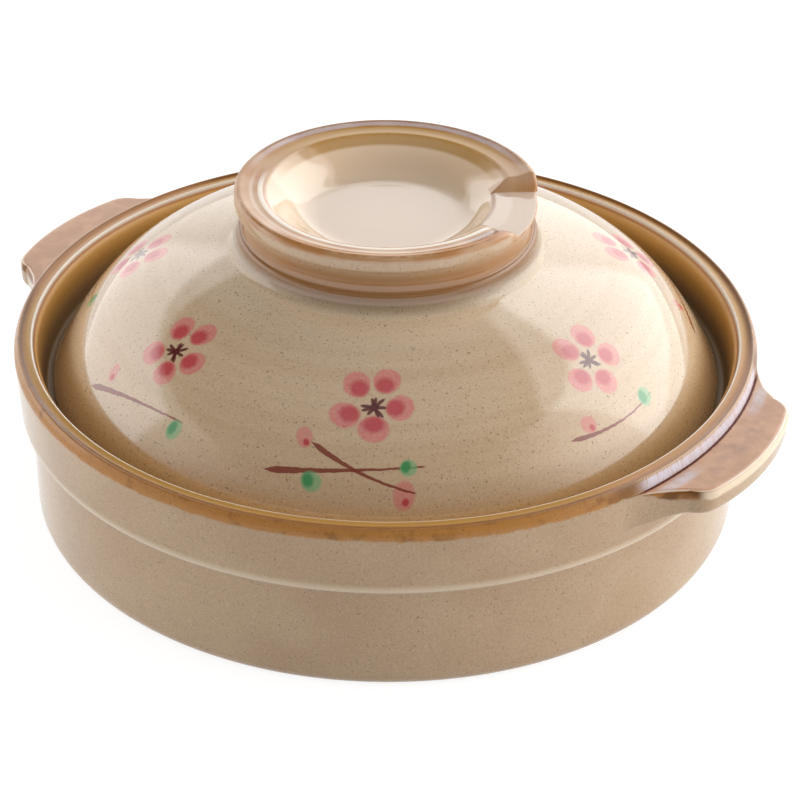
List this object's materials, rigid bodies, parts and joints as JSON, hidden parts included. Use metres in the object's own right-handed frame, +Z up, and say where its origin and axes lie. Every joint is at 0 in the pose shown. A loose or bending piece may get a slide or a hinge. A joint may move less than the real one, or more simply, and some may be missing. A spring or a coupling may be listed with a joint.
{
  "type": "lidded clay soup pot",
  "caption": "Low round clay soup pot with lug handles on its rim band and a domed lift-off lid with a notched ring knob; amber glaze at the rim, painted blossoms on the lid.",
  "frame": {"origin": "on the table, on the axis of the pot, below the middle of the base", "axes": "+Z up along the axis of the pot and lid, +X out through a lug handle"},
  "size_m": [0.2436, 0.2158, 0.0975],
  "materials": {
    "pot_clay": "satin sand-coloured glaze with fine specks, amber glaze at the rim",
    "lug_glaze": "glossy amber glaze on top, sand-coloured below",
    "lid_glaze": "glossy clear glaze over speckled sand-coloured clay, with painted blossoms",
    "knob_glaze": "glossy cream glaze, amber along the ring"
  },
  "bodies": {
    "pot": {"pot_body": "pot_clay", "lug_handle_right": "lug_glaze", "lug_handle_left": "lug_glaze"},
    "lid": {"lid_dome": "lid_glaze", "lid_knob": "knob_glaze"}
  },
  "joints": [
    {"name": "lid_lift", "type": "slide", "parent": "pot", "child": "lid", "axis": [0, 0, 1], "range_m": [0, 0.12]}
  ]
}
